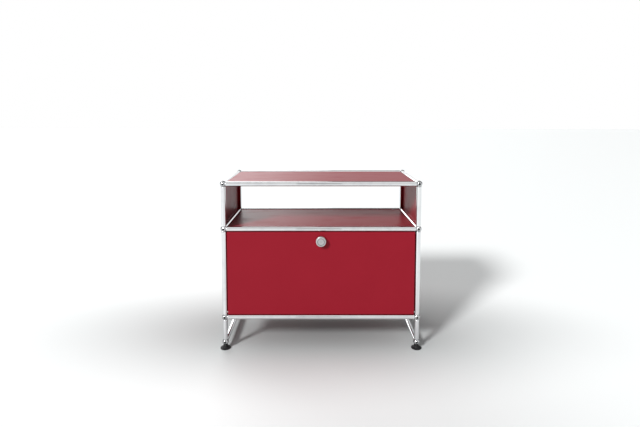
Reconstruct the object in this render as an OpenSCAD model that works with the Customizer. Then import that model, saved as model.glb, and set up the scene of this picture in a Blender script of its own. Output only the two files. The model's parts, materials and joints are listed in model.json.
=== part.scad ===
// Modular cabinet of round tubes, ball connectors and folded steel panels.
// The upper bay is open at the front and back, the lower bay has a drop-down door.
// The origin is on the floor, under the middle of the overall box. +Z is up and the
// door faces -Y. All sizes are in millimetres.

/* [Frame grid] */
// Width between post axes
grid_w = 750; // [400:5:1000]
// Depth between post axes
grid_d = 350; // [250:5:500]
// Height of the open upper bay, axis to axis
upper_h = 175; // [120:5:400]
// Height of the lower bay behind the door, axis to axis
lower_h = 350; // [250:5:450]
// Height of the legs, axis to axis
leg_h = 100; // [80:5:200]

/* [Tubes and balls] */
// Outer diameter of every tube
tube_d = 19; // [15.5:0.5:20]
// Wall of the tubes
tube_wall = 1.5; // [1:0.1:2]
// Length of the rolled-in end of a tube
roll_len = 2.6; // [2:0.1:3]
// Diameter of the ball connectors
ball_d = 25; // [24:0.5:30]
// Diameter of a ball's free tapped holes, which is the bottom of their thread
thread_d = 6.8; // [5:0.1:6.8]
// Diameter of the screws and of the feet's stems, over their thread
screw_d = 8; // [6:0.5:8]
// Distance from a ball's centre to the bottom of each of its six holes
thread_floor = 4.3; // [4.2:0.1:5]
// Widening of the free holes at their mouth
mouth_chamfer = 0.8; // [0.3:0.1:1.2]
// Length of the expander sleeve inside a tube end
sleeve_len = 20; // [12:1:20]
// Length of the connector screw's head
screw_head_len = 5; // [3:0.5:6]

/* [Panels] */
// Thickness of the folded sheet
sheet_t = 1.25; // [0.8:0.05:1.5]
// Outer radius of the folds
fold_r = 2.5; // [2:0.1:4]
// Depth of a panel tray
panel_depth = 12; // [10:0.5:16]
// Gap between a panel's rim and the tubes round it
panel_gap = 0.6; // [0.4:0.1:0.9]
// How far a panel's outer face lies outside the tube axes
panel_proud = 5.5; // [3:0.5:8]
// Diameter of the pins that hold the panels
pin_d = 4; // [3:0.1:5]
// Diameter of the pins' heads
pin_head_d = 6; // [5:0.5:6]
// Thickness of the pins' heads
pin_head_t = 1.2; // [0.8:0.1:2]

/* [Door] */
// How far the door's outer face lies outside the tube axes
door_proud = 6; // [5:0.5:7]
// Depth of the door tray
door_depth = 12.5; // [11.5:0.5:13]
// Gap between the door and the posts
door_side_gap = 2.5; // [2:0.1:5]
// Gap between the door's top edge and the tube above
door_top_gap = 2; // [1.5:0.1:5]
// Height of the door's lower edge above the axis of the bottom tube
door_low = 11.5; // [11:0.5:16]
// Height of the hinge axis above the door's lower edge
hinge_up = 8.5; // [8:0.5:12]
// Diameter of the hinge pins
hinge_pin_d = 6; // [5:0.1:6]
// Running clearance round the hinge pins, on the radius
hinge_fit = 0.05; // [0.02:0.01:0.1]
// Width of a hinge block
block_w = 22; // [18:1:40]
// Height of a hinge block above the hinge axis
block_up = 13; // [10:1:25]
// How far a hinge block reaches behind the hinge axis
block_back = 8; // [7.5:0.5:8.5]
// Diameter of the stop dowel across a hinge pin
dowel_d = 2.5; // [2:0.1:3]
// Distance from the hinge axis to the dowel's free end
dowel_reach = 6; // [5.5:0.5:6.5]
// Direction of the dowel, above the horizontal behind the hinge
dowel_turn = 60; // [50:5:70]
// Angle of the open door
door_open = 90; // [90]

/* [Lock] */
// Diameter of the turn knob
knob_d = 39; // [30:1:50]
// How far the knob stands out from the door
knob_out = 20; // [15:1:30]
// Distance from the tube axis above the door down to the knob's axis
knob_drop = 45; // [38:1:60]
// Diameter of the knob's shaft
shaft_d = 12; // [10:0.5:14]
// Outer diameter of the lock bush in the door
bush_d = 18; // [16:0.5:22]
// Thickness of the cam tongue
tongue_t = 2; // [1.5:0.1:2]
// Width of the cam tongue
tongue_w = 14; // [10:1:18]
// Diameter of the key plug
plug_d = 11; // [10:0.5:11]
// Running clearance of the lock's turning parts, on the radius
lock_fit = 0.05; // [0.02:0.01:0.1]

/* [Feet] */
// Diameter of a foot pad
foot_d = 40; // [30:1:50]
// Height of a foot pad with its neck
foot_h = 12.9; // [11.5:0.1:20]
// Thickness of a foot pad's rim
foot_rim = 3; // [2:0.5:4]
// Height where a foot's cone ends in its neck
foot_cone_top = 10.5; // [9:0.5:11]
// Diameter of a foot's neck
foot_neck_d = 18; // [14:0.5:20]
// Gap between a foot's neck and the ball above it
foot_ball_gap = 0.6; // [0.3:0.1:1]

/* [Hidden] */
$fn = 48;

// Colours
chrome = "gainsboro";
red = "crimson";
grey = "silver";
black = "dimgray";

// Frame
tube_r = tube_d / 2;
ball_r = ball_d / 2;
thread_r = thread_d / 2;
// Tube ends stop just short of each other, at a flat on the ball
tube_end_gap = 0.3;
ball_flat = tube_r + tube_end_gap;
seat_r = min(tube_r, sqrt(ball_r * ball_r - ball_flat * ball_flat));
z_foot = foot_h + foot_ball_gap + ball_r;
z_bottom = z_foot + leg_h;
z_middle = z_bottom + lower_h;
z_top = z_middle + upper_h;
// The knob stands out at the front, so the frame's centre lies behind the origin
knob_front = grid_d / 2 + door_proud + knob_out;
y_mid = (knob_front - grid_d / 2 - ball_r) / 2;
half_w = grid_w / 2;
y_front = y_mid - grid_d / 2;
y_back = y_mid + grid_d / 2;

// Fixing screws inside the tube ends
bore_r = tube_r - tube_wall;
thread_gap = 0.03;
screw_r = screw_d / 2;
held_r = screw_r + thread_gap;
screw_start = thread_floor + 0.1;
screw_head_r = bore_r - 2;
sleeve_start = ball_flat + roll_len + 0.4;
sleeve_end = sleeve_start + sleeve_len;

// Panels
edge_in = tube_r + panel_gap;
pin_gap = 0.05;
pin_share = 1 / 4;
pin_start = bore_r - 1;

// Door, with y measured from the axis of the front tubes
door_half_w = half_w - tube_r - door_side_gap;
door_z0 = z_bottom + door_low;
door_z1 = z_middle - tube_r - door_top_gap;
door_w = 2 * door_half_w;
door_h = door_z1 - door_z0;
hinge_z = door_z0 + hinge_up;
hinge_pin_r = hinge_pin_d / 2;
// The hinge pins end in the wall of the sleeves, short of the connector screws
hinge_pin_end = half_w - screw_r - 0.25;
hinge_pin_start = door_half_w - sheet_t - block_w + 1;
hinge_hole_gap = 0.5;
seat_gap = 0.05;
groove_w = 7;
groove_side_gap = 0.1;
groove_end_gap = 0.5;
dowel_gap = 0.02;
dowel_start = 1 - hinge_pin_r;
rivet_r = 1.6;
rivet_head_r = 3;
rivet_head_t = 0.8;
rivet_len = 8;
rivet_up = 9;
rivet_back = 4;

// Door stop
buffer_x = grid_w * 0.4;
buffer_w = 16;
buffer_h = 9;
buffer_gap = 0.1;
// The buffers meet the rim of the door's upper flange, and stay below the shelf's flange
shelf_low = z_middle + panel_proud - panel_depth;
buffer_z = min(door_z1 - sheet_t / 2 - buffer_h / 2, shelf_low - buffer_gap - buffer_h);
buffer_y = door_depth - door_proud + buffer_gap;
bracket_t = 1.5;
bracket_w = 20;
bracket_z = buffer_z - 4;
bracket_y = edge_in + sheet_t;

// Lock
knob_z = z_middle - knob_drop;
knob_r = knob_d / 2;
shaft_r = shaft_d / 2;
bush_r = bush_d / 2;
bush_lip = 1.2;
bush_lip_t = 1;
nut_t = 4;
nut_across = bush_d + 8;
knob_gap = 0.3;
tongue_gap = 0.4;
tongue_y = door_depth - door_proud + tongue_gap;
tongue_clear = 0.5;
tongue_reach = knob_drop - sqrt(pow(tube_r + tongue_clear, 2) - pow(tongue_y, 2));
plug_r = plug_d / 2;
plug_len = 14;
plug_sunk = 0.3;
knob_base_r = knob_r - 2.5;
knob_base_t = 4;
shaft_in = 3;
knob_round = 3;
knob_ring_r = knob_r * 0.66;
knob_ring_w = 1.2;
knob_ring_deep = 0.8;
cam_square = 7;
cam_boss_r = tongue_w / 2 + 1;
cam_screw_r = 2;
cam_screw_len = 6;
cam_head_r = 6;
cam_head_t = 1.6;
slot_l = 5.5;
slot_w = 1.2;
slot_deep = 2.5;

// Feet
foot_edge = 1;
stem_end = z_foot - screw_start;

sides = [-1, 1];
corners = [for (sx = sides, sy = sides) [sx, sy]];
function corner(sx, sy, z) = [sx * half_w, y_mid + sy * grid_d / 2, z];
// Rotation that turns +Z onto a frame direction
function turn_to(v) =
  v.x != 0 ? [0, 90 * sign(v.x), 0] :
  v.y != 0 ? [-90 * sign(v.y), 0, 0] :
  v.z < 0 ? [180, 0, 0] : [0, 0, 0];

// Directions of the tubes that meet at a ball of each level
function inward_x(sx) = [-sx, 0, 0];
function inward_y(sy) = [0, -sy, 0];
up = [0, 0, 1];
down = [0, 0, -1];
all_dirs = [[1, 0, 0], [-1, 0, 0], [0, 1, 0], [0, -1, 0], up, down];
function dirs_top(sx, sy) = [inward_x(sx), inward_y(sy), down];
function dirs_between(sx, sy) = [inward_x(sx), inward_y(sy), up, down];
function dirs_foot(sx, sy) = [inward_y(sy), up];
function is_in(v, list) = len([for (d = list) if (d == v) d]) > 0;

// Every ball as [centre, tube directions]
balls_at = [
  for (c = corners) [corner(c[0], c[1], z_top), dirs_top(c[0], c[1])],
  for (z = [z_middle, z_bottom], c = corners) [corner(c[0], c[1], z), dirs_between(c[0], c[1])],
  for (c = corners) [corner(c[0], c[1], z_foot), dirs_foot(c[0], c[1])]
];

// Every panel pin as [point on the tube axis, direction into the panel]
pins_at = [
  for (z = [z_bottom, z_middle, z_top], sx = sides, sy = sides)
    [[sx * grid_w * pin_share, y_mid + sy * grid_d / 2, z], inward_y(sy)],
  for (zz = [[z_bottom, up], [z_middle, down], [z_middle, up], [z_top, down]], sx = sides, sy = sides)
    [[sx * half_w, y_mid + sy * grid_d * pin_share, zz[0]], zz[1]],
  for (zz = [[z_bottom, up], [z_middle, down]], sx = sides)
    [[sx * grid_w * pin_share, y_back, zz[0]], zz[1]]
];

// ---- Frame ----

// Ball with flats where tubes seat, and six holes: those that hold a screw have its
// outer diameter, and the free ones are chamfered. The lowest balls hold the feet too.
module ball(centre, dirs) {
  held = centre.z == z_foot ? concat(dirs, [down]) : dirs;
  translate(centre)
    difference() {
      sphere(r = ball_r);
      for (v = dirs)
        translate(v * (ball_flat + ball_r))
          cube(ball_d, center = true);
      for (v = all_dirs)
        rotate(turn_to(v)) {
          translate([0, 0, thread_floor])
            cylinder(r = is_in(v, held) ? held_r : thread_r, h = ball_r);
          if (!is_in(v, held))
            free_mouth();
        }
    }
}

// Chamfer at the mouth of a free tapped hole
module free_mouth() {
  mouth = sqrt(ball_r * ball_r - thread_r * thread_r);
  translate([0, 0, mouth - mouth_chamfer])
    cylinder(r1 = thread_r, r2 = thread_r + 3 * mouth_chamfer, h = 3 * mouth_chamfer);
}

module ball_level(first) {
  color(chrome)
    for (i = [first : first + 3])
      ball(balls_at[i][0], balls_at[i][1]);
}

// Tube between two ball centres, given its middle, a frame direction and the grid length
module tube(middle, dir, run) {
  half = run / 2 - ball_flat;
  translate(middle)
    rotate(turn_to(dir))
      difference() {
        union() {
          cylinder(r = tube_r, h = 2 * (half - roll_len), center = true);
          for (turn = [0, 180])
            rotate([turn, 0, 0])
              translate([0, 0, half - roll_len])
                cylinder(r1 = tube_r, r2 = seat_r, h = roll_len);
        }
        cylinder(r = bore_r, h = 2 * (half - roll_len), center = true);
        cylinder(r = seat_r - tube_wall, h = run, center = true);
      }
}

// Holes for the panel pins that enter the tubes of one level
module pin_holes(z) {
  for (p = pins_at)
    if (p[0].z == z)
      translate(p[0])
        rotate(turn_to(p[1]))
          cylinder(r = pin_d / 2 + pin_gap, h = tube_d);
}

module tubes_width(z) {
  color(chrome)
    difference() {
      for (sy = sides)
        tube([0, y_mid + sy * grid_d / 2, z], [1, 0, 0], grid_w);
      pin_holes(z);
    }
}

module tubes_depth(z) {
  color(chrome)
    difference() {
      for (sx = sides)
        tube([sx * half_w, y_mid, z], [0, 1, 0], grid_d);
      pin_holes(z);
    }
}

module posts(z0, z1, rows = sides) {
  color(chrome)
    for (sx = sides, sy = rows)
      tube(corner(sx, sy, (z0 + z1) / 2), up, z1 - z0);
}

module balls_top() { ball_level(0); }
module balls_middle() { ball_level(4); }
module balls_bottom() { ball_level(8); }
module balls_foot() { ball_level(12); }
module tubes_width_top() { tubes_width(z_top); }
module tubes_width_middle() { tubes_width(z_middle); }
module tubes_width_bottom() { tubes_width(z_bottom); }
module tubes_depth_top() { tubes_depth(z_top); }
module tubes_depth_middle() { tubes_depth(z_middle); }
module tubes_depth_bottom() { tubes_depth(z_bottom); }
module tubes_depth_foot() { tubes_depth(z_foot); }
module posts_upper() { posts(z_middle, z_top); }
module posts_lower_back() { posts(z_bottom, z_middle, [1]); }
module legs() { posts(z_foot, z_bottom); }

// The front posts carry the hinge pins
module posts_lower_front() {
  color(chrome)
    difference() {
      posts(z_bottom, z_middle, [-1]);
      for (sx = sides)
        hinge_axis(sx, half_w - tube_d, half_w, hinge_pin_r + pin_gap);
    }
}

// Everything that sits at a tube end, drawn along +Z from the ball's centre
module at_tube_ends() {
  for (b = balls_at, v = b[1])
    translate(b[0])
      rotate(turn_to(v))
        children();
}

module connector_screws() {
  color(grey)
    at_tube_ends() {
      translate([0, 0, screw_start])
        cylinder(r = screw_r, h = sleeve_end - thread_floor);
      translate([0, 0, sleeve_end])
        cylinder(r = screw_head_r, h = screw_head_len);
    }
}

// The two sleeves beside the door are drilled for the hinge pins
module expander_sleeves() {
  color(grey)
    difference() {
      at_tube_ends()
        translate([0, 0, sleeve_start])
          difference() {
            cylinder(r = bore_r - seat_gap, h = sleeve_len);
            translate([0, 0, -1])
              cylinder(r = screw_r + seat_gap, h = sleeve_len + 2);
          }
      for (sx = sides)
        hinge_axis(sx, half_w - tube_r, half_w, hinge_pin_r + pin_gap);
    }
}

// ---- Panels ----

// Block with its top face at z = 0 and its upper edges and corners rounded
module soft_block(u, v, deep, r) {
  hu = u / 2 - r;
  hv = v / 2 - r;
  translate([-hu, -hv, -deep])
    cube([2 * hu, 2 * hv, deep]);
  translate([-u / 2, -hv, -deep])
    cube([u, 2 * hv, deep - r]);
  translate([-hu, -v / 2, -deep])
    cube([2 * hu, v, deep - r]);
  for (s = sides) {
    translate([0, s * hv, -r])
      rotate([0, 90, 0])
        cylinder(r = r, h = 2 * hu, center = true);
    translate([s * hu, 0, -r])
      rotate([90, 0, 0])
        cylinder(r = r, h = 2 * hv, center = true);
  }
  for (c = corners)
    translate([c[0] * hu, c[1] * hv, 0]) {
      translate([0, 0, -deep])
        cylinder(r = r, h = deep - r);
      translate([0, 0, -r])
        sphere(r = r);
    }
}

// Folded sheet tray with its outer face at z = 0, open below
module tray(u, v, deep, r) {
  difference() {
    soft_block(u, v, deep, r);
    translate([0, 0, -sheet_t])
      soft_block(u - 2 * sheet_t, v - 2 * sheet_t, deep, r - sheet_t);
  }
}

module level_panel(z) {
  color(red)
    difference() {
      translate([0, y_mid, z + panel_proud])
        tray(grid_w - 2 * edge_in, grid_d - 2 * edge_in, panel_depth, fold_r);
      panel_pin_cuts(z, 1);
    }
}

module side_panel(sx, z0, z1) {
  color(red)
    difference() {
      translate([sx * (half_w + panel_proud), y_mid, (z0 + z1) / 2])
        rotate([0, 90 * sx, 0])
          tray(z1 - z0 - 2 * edge_in, grid_d - 2 * edge_in, panel_depth, fold_r);
      panel_pin_cuts(z0, 2);
      panel_pin_cuts(z1, 2);
    }
}

// Pin holes of one level that run along frame axis 1 (depth) or 2 (height)
module panel_pin_cuts(z, axis) {
  for (p = pins_at)
    if (p[0].z == z && p[1][axis] != 0)
      translate(p[0])
        rotate(turn_to(p[1]))
          cylinder(r = pin_d / 2 + pin_gap, h = edge_in + 2 * sheet_t);
}

module top_panel() { level_panel(z_top); }
module shelf_panel() { level_panel(z_middle); }
module bottom_panel() { level_panel(z_bottom); }
module side_panel_upper_left() { side_panel(-1, z_middle, z_top); }
module side_panel_upper_right() { side_panel(1, z_middle, z_top); }
module side_panel_lower_left() { side_panel(-1, z_bottom, z_middle); }
module side_panel_lower_right() { side_panel(1, z_bottom, z_middle); }

module back_panel() {
  color(red)
    difference() {
      translate([0, y_back + panel_proud, (z_bottom + z_middle) / 2])
        rotate([-90, 0, 0])
          tray(grid_w - 2 * edge_in, lower_h - 2 * edge_in, panel_depth, fold_r);
      panel_pin_cuts(z_bottom, 2);
      panel_pin_cuts(z_middle, 2);
    }
}

module panel_pins() {
  color(grey)
    for (p = pins_at)
      translate(p[0])
        rotate(turn_to(p[1])) {
          translate([0, 0, pin_start])
            cylinder(r = pin_d / 2, h = edge_in + sheet_t - pin_start);
          translate([0, 0, edge_in + sheet_t])
            cylinder(r = pin_head_d / 2, h = pin_head_t);
        }
}

// ---- Door stop ----

module stop_brackets() {
  color(red)
    for (sx = sides)
      translate([sx * buffer_x - bracket_w / 2, y_front + bracket_y, bracket_z])
        cube([bracket_w, bracket_t, z_middle - bracket_z]);
}

module door_buffers() {
  color(black)
    for (sx = sides)
      translate([sx * buffer_x - buffer_w / 2, y_front + buffer_y, buffer_z])
        cube([buffer_w, bracket_y - buffer_y, buffer_h]);
}

// ---- Door ----

// Moves to the door's frame: origin on the outer face, +X right, +Y up, +Z outward
module on_door(z) {
  translate([0, y_front - door_proud, z])
    rotate([90, 0, 0])
      children();
}

module hinge_axis(sx, from, to, r) {
  translate([sx * (from + to) / 2, y_front, hinge_z])
    rotate([0, 90, 0])
      cylinder(r = r, h = abs(to - from), center = true);
}

module rivet_holes(r) {
  for (sx = sides)
    translate([sx * door_half_w, y_front + rivet_back, hinge_z + rivet_up])
      rotate([0, 90, 0])
        cylinder(r = r, h = 2 * (rivet_len + sheet_t), center = true);
}

module door_panel() {
  color(red)
    difference() {
      on_door((door_z0 + door_z1) / 2)
        tray(door_w, door_h, door_depth, fold_r);
      on_door(knob_z)
        cylinder(r = bush_r + seat_gap, h = 3 * sheet_t, center = true);
      for (sx = sides)
        hinge_axis(sx, door_half_w - 2 * sheet_t, door_half_w + 1, hinge_pin_r + hinge_hole_gap);
      rivet_holes(rivet_r + seat_gap);
    }
}

// Block in a lower corner of the door that turns on the hinge pin
module hinge_block(sx) {
  outer = door_half_w - sheet_t - seat_gap;
  skin = sheet_t + seat_gap;
  low = door_z0 + sheet_t + seat_gap;
  high = hinge_z + block_up;
  color(grey)
    difference() {
      intersection() {
        on_door((door_z0 + door_z1) / 2)
          translate([0, 0, -skin])
            soft_block(2 * outer, door_h - 2 * skin, door_depth + block_back, fold_r - sheet_t);
        translate([sx > 0 ? outer - block_w : -outer, y_front - door_proud, low])
          cube([block_w, door_proud + block_back, high - low]);
      }
      hinge_axis(sx, outer - block_w - 1, outer + 1, hinge_pin_r + hinge_fit);
      dowel_groove(sx, outer - groove_w, outer + 1);
      rivet_holes(rivet_r + seat_gap);
    }
}

// Quarter-turn groove that the stop dowel runs in as the door opens
module dowel_groove(sx, from, to) {
  reach = dowel_reach + groove_end_gap;
  half = dowel_d / 2 + groove_side_gap;
  translate([sx > 0 ? from : -to, y_front, hinge_z])
    for (a = [dowel_turn, dowel_turn - door_open])
      rotate([a, 0, 0])
        translate([0, 0, -half])
          cube([to - from, reach, 2 * half]);
  translate([sx > 0 ? from : -to, y_front, hinge_z])
    rotate([dowel_turn - door_open, 0, 0])
      intersection() {
        rotate([0, 90, 0])
          cylinder(r = reach, h = to - from);
        cube([to - from, reach, reach]);
      }
}

module dowel_at(sx, r) {
  translate([sx * (door_half_w - sheet_t - groove_w / 2), y_front, hinge_z])
    rotate([dowel_turn - 90, 0, 0])
      translate([0, 0, dowel_start])
        cylinder(r = r, h = dowel_reach - dowel_start);
}

module hinge_block_left() { hinge_block(-1); }
module hinge_block_right() { hinge_block(1); }

module hinge_pins() {
  color(grey)
    for (sx = sides)
      difference() {
        hinge_axis(sx, hinge_pin_start, hinge_pin_end, hinge_pin_r);
        dowel_at(sx, dowel_d / 2 + dowel_gap);
      }
}

module stop_dowels() {
  color(grey)
    for (sx = sides)
      dowel_at(sx, dowel_d / 2);
}

module hinge_rivets() {
  color(grey)
    for (sx = sides)
      translate([sx * door_half_w, y_front + rivet_back, hinge_z + rivet_up])
        rotate([0, 90 * sx, 0]) {
          cylinder(r = rivet_head_r, h = rivet_head_t);
          translate([0, 0, -rivet_len])
            cylinder(r = rivet_r, h = rivet_len);
        }
}

// ---- Lock ----

module lock_bush() {
  color(grey)
    on_door(knob_z)
      difference() {
        union() {
          cylinder(r = bush_r + bush_lip, h = bush_lip_t);
          translate([0, 0, -tongue_y - door_proud + tongue_gap])
            cylinder(r = bush_r, h = tongue_y + door_proud - tongue_gap);
        }
        cylinder(r = shaft_r + lock_fit, h = 4 * knob_out, center = true);
      }
}

module bush_nut() {
  color(grey)
    on_door(knob_z)
      translate([0, 0, -sheet_t - nut_t])
        difference() {
          cylinder(d = nut_across, h = nut_t, $fn = 6);
          translate([0, 0, -1])
            cylinder(r = bush_r + seat_gap, h = nut_t + 2);
        }
}

// Outline of half the knob, from its shaft to its rim
module knob_outline() {
  back = bush_lip_t + knob_gap;
  difference() {
    union() {
      translate([0, back])
        square([knob_base_r, knob_base_t]);
      translate([0, back + knob_base_t])
        square([knob_r, knob_out - back - knob_base_t - knob_round]);
      translate([0, back + knob_base_t])
        square([knob_r - knob_round, knob_out - back - knob_base_t]);
      intersection() {
        translate([knob_r - knob_round, knob_out - knob_round])
          circle(r = knob_round);
        translate([knob_r - knob_round, knob_out - knob_round])
          square(knob_round);
      }
    }
    translate([knob_ring_r, knob_out - knob_ring_deep])
      square([knob_ring_w, knob_ring_deep + 1]);
  }
}

module knob() {
  color(grey)
    on_door(knob_z)
      difference() {
        union() {
          rotate_extrude()
            knob_outline();
          translate([0, 0, -tongue_y - door_proud])
            cylinder(r = shaft_r, h = tongue_y + door_proud + shaft_in);
          translate([0, 0, -tongue_y - door_proud - tongue_t / 2])
            cube([cam_square, cam_square, tongue_t], center = true);
        }
        translate([0, 0, knob_out - plug_len])
          cylinder(r = plug_r + lock_fit, h = plug_len + 1);
        translate([0, 0, -tongue_y - door_proud - tongue_t - 1])
          cylinder(r = cam_screw_r + seat_gap, h = cam_screw_len + 2);
      }
}

// Tongue at rest, lying level; a quarter turn brings it up behind the tube
module cam_tongue() {
  color(grey)
    on_door(knob_z)
      translate([0, 0, -tongue_y - door_proud - tongue_t])
        difference() {
          union() {
            cylinder(r = cam_boss_r, h = tongue_t);
            intersection() {
              translate([0, -tongue_w / 2, 0])
                cube([tongue_reach, tongue_w, tongue_t]);
              cylinder(r = tongue_reach, h = tongue_t);
            }
          }
          translate([0, 0, tongue_t / 2])
            cube([cam_square + 2 * seat_gap, cam_square + 2 * seat_gap, 2 * tongue_t], center = true);
        }
}

module cam_screw() {
  color(grey)
    on_door(knob_z)
      translate([0, 0, -tongue_y - door_proud - tongue_t]) {
        translate([0, 0, -cam_head_t])
          cylinder(r = cam_head_r, h = cam_head_t);
        cylinder(r = cam_screw_r, h = cam_screw_len);
      }
}

module key_plug() {
  color(grey)
    on_door(knob_z)
      translate([0, 0, knob_out - plug_len + seat_gap])
        difference() {
          cylinder(r = plug_r, h = plug_len - seat_gap - plug_sunk);
          translate([0, 0, plug_len - slot_deep / 2])
            cube([slot_l, slot_w, slot_deep + 1], center = true);
        }
}

// ---- Feet ----

module foot_pad(sx, sy) {
  color(black)
    translate(corner(sx, sy, 0))
      difference() {
        union() {
          cylinder(r = foot_d / 2, h = foot_rim);
          translate([0, 0, foot_rim])
            cylinder(r1 = foot_d / 2 - foot_edge, r2 = foot_neck_d / 2, h = foot_cone_top - foot_rim);
          translate([0, 0, foot_cone_top])
            cylinder(r = foot_neck_d / 2, h = foot_h - foot_cone_top);
        }
        translate([0, 0, foot_rim])
          cylinder(r = screw_r + seat_gap, h = foot_h);
      }
}

module foot_stem(sx, sy) {
  color(grey)
    translate(corner(sx, sy, foot_rim))
      cylinder(r = screw_r, h = stem_end - foot_rim);
}

module foot_pad_front_left() { foot_pad(-1, -1); }
module foot_pad_front_right() { foot_pad(1, -1); }
module foot_pad_back_left() { foot_pad(-1, 1); }
module foot_pad_back_right() { foot_pad(1, 1); }
module foot_stem_front_left() { foot_stem(-1, -1); }
module foot_stem_front_right() { foot_stem(1, -1); }
module foot_stem_back_left() { foot_stem(-1, 1); }
module foot_stem_back_right() { foot_stem(1, 1); }

balls_top();
balls_middle();
balls_bottom();
balls_foot();
tubes_width_top();
tubes_width_middle();
tubes_width_bottom();
tubes_depth_top();
tubes_depth_middle();
tubes_depth_bottom();
tubes_depth_foot();
posts_upper();
posts_lower_front();
posts_lower_back();
legs();
connector_screws();
expander_sleeves();
top_panel();
shelf_panel();
bottom_panel();
back_panel();
side_panel_upper_left();
side_panel_upper_right();
side_panel_lower_left();
side_panel_lower_right();
panel_pins();
stop_brackets();
door_buffers();
hinge_pins();
stop_dowels();
door_panel();
hinge_block_left();
hinge_block_right();
hinge_rivets();
lock_bush();
bush_nut();
knob();
cam_tongue();
cam_screw();
key_plug();
foot_pad_front_left();
foot_pad_front_right();
foot_pad_back_left();
foot_pad_back_right();
foot_stem_front_left();
foot_stem_front_right();
foot_stem_back_left();
foot_stem_back_right();
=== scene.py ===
"""Looks of a low cabinet made of chromed tubes, ball connectors and folded red panels."""

import json
import logging
import math
import sys
from dataclasses import dataclass
from enum import Enum
from typing import Any, Sequence

import bpy
import numpy as np
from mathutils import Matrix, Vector


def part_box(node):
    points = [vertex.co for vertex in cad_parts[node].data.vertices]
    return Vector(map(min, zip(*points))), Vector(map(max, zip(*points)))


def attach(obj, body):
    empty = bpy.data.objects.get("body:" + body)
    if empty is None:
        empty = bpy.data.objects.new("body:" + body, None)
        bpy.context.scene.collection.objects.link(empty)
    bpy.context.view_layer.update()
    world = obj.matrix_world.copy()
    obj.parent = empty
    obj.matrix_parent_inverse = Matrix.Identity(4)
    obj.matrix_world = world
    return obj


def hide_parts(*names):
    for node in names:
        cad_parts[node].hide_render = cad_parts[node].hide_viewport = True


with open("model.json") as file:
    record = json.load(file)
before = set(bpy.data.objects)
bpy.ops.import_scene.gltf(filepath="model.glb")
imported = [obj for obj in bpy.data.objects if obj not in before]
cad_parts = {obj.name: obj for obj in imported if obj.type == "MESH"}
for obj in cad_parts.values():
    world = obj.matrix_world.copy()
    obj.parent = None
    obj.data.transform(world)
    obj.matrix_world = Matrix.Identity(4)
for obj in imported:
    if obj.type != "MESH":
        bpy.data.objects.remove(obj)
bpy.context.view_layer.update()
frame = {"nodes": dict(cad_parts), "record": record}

LOG = logging.getLogger("cabinet")
Array = np.ndarray
Vec = Sequence[float]
SHARP = math.radians(38)
BORE = "bore"


# ---------------------------------------------------------------------------
# Surfaces
# ---------------------------------------------------------------------------


class Body(Enum):
    """The bodies that the pieces ride on."""

    FRAME = "frame"
    DOOR = "door"
    KNOB = "knob"
    KEY_PLUG = "key_plug"


class Slot(Enum):
    """The record's material slots."""

    CHROME = "chrome"
    RED = "red_paint"
    ZINC = "zinc"
    SATIN = "satin_grey"
    PLASTIC = "black_plastic"
    RUBBER = "buffer_rubber"


def basis(facing: Vec) -> Array:
    """Right-handed axes whose third row is facing.

    Args:
        facing: unit vector along a frame axis.

    Returns:
        3 by 3 array of the rows u, v and facing, with v up, or back for a level face.
    """
    w = np.asarray(facing, float)
    v = np.array([0.0, 1.0, 0.0]) if abs(w[2]) > 0.5 else np.array([0.0, 0.0, 1.0])
    return np.stack([np.cross(v, w), v, w])


def placed(points: Array, centre: Vec, facing: Vec) -> Array:
    """Points drawn round the origin along +Z, turned to facing and moved to centre.

    Args:
        points: array with x, y, z in its last axis.
        centre: where the origin goes.
        facing: unit vector that +Z turns to.

    Returns:
        The moved points, in the same shape.
    """
    return points @ basis(facing) + np.asarray(centre, float)


def arc(radius: float, start: float, end: float, count: int) -> Array:
    """Points of a circle's arc, radius times (cos a, sin a) for a from start to end.

    Args:
        radius: of the circle.
        start: first angle in degrees.
        end: last angle in degrees.
        count: number of points.

    Returns:
        count by 2 array.
    """
    a = np.radians(np.linspace(start, end, count))
    return radius * np.stack([np.cos(a), np.sin(a)], axis=1)


def revolved(profile: Array, around: int = 64) -> Array:
    """Surface of revolution about Z: (r cos t, r sin t, z) for each profile point (r, z).

    Args:
        profile: n by 2 array of radius and height.
        around: number of steps of the angle t.

    Returns:
        n by around by 3 grid, closed in its second axis.
    """
    t = np.linspace(0, 2 * math.pi, around, endpoint=False)
    r, z = profile[:, :1], profile[:, 1:]
    return np.stack([r * np.cos(t), r * np.sin(t), z + 0 * t], axis=2)


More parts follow.
